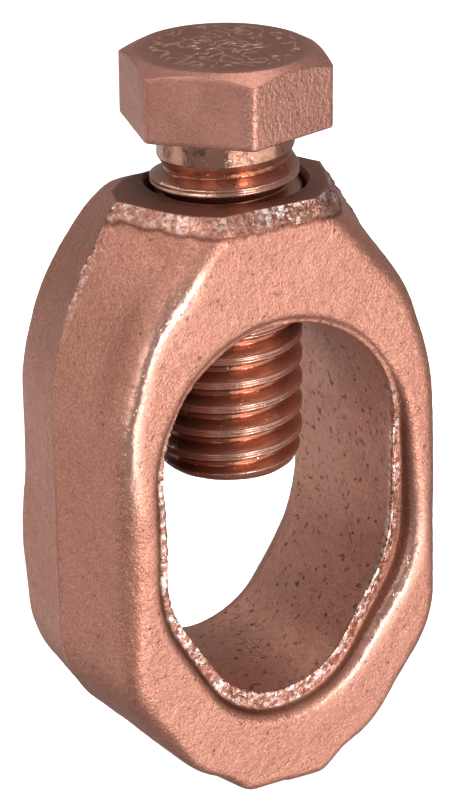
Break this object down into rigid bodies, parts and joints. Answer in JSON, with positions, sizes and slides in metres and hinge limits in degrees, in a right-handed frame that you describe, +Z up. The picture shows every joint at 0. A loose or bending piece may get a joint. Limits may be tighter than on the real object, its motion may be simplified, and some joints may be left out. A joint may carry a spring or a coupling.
{
  "type": "ground rod clamp",
  "caption": "Cast bronze ground rod clamp: a deep one-piece ring with a vee seat for the rod and a hexagon head bolt that screws down through its thick crown.",
  "frame": {"origin": "middle of the small flat at the bottom of the clamp's nose", "axes": "+Z runs up along the bolt from the nose to the bolt head; +Y is parallel to the rod and -Y is the front of the ring; X crosses the ring's width"},
  "size_m": [0.025, 0.0142, 0.0476],
  "materials": {
    "cast_bronze": "as-cast copper alloy with a fine sand grain, satin",
    "copper_plate": "copper-coloured plating, bright on the threads and dull on the head"
  },
  "bodies": {
    "clamp": {"clamp_body": "cast_bronze"},
    "point": {"bolt_point": "copper_plate"},
    "bolt": {"hex_bolt": "copper_plate"}
  },
  "joints": [
    {"name": "bolt_advance", "type": "slide", "parent": "clamp", "child": "point", "axis": [0, 0, 1], "range_m": [-0.00238, 0.01429]},
    {"name": "bolt_turn", "type": "hinge", "parent": "point", "child": "bolt", "pos_m": [0, 0, 0.03], "axis": [0, 0, 1], "range_deg": [-540, 3240]}
  ],
  "couplings": [
    {"joint": "bolt_advance", "follows": "bolt_turn", "m_per_rad": 0.00025266}
  ]
}
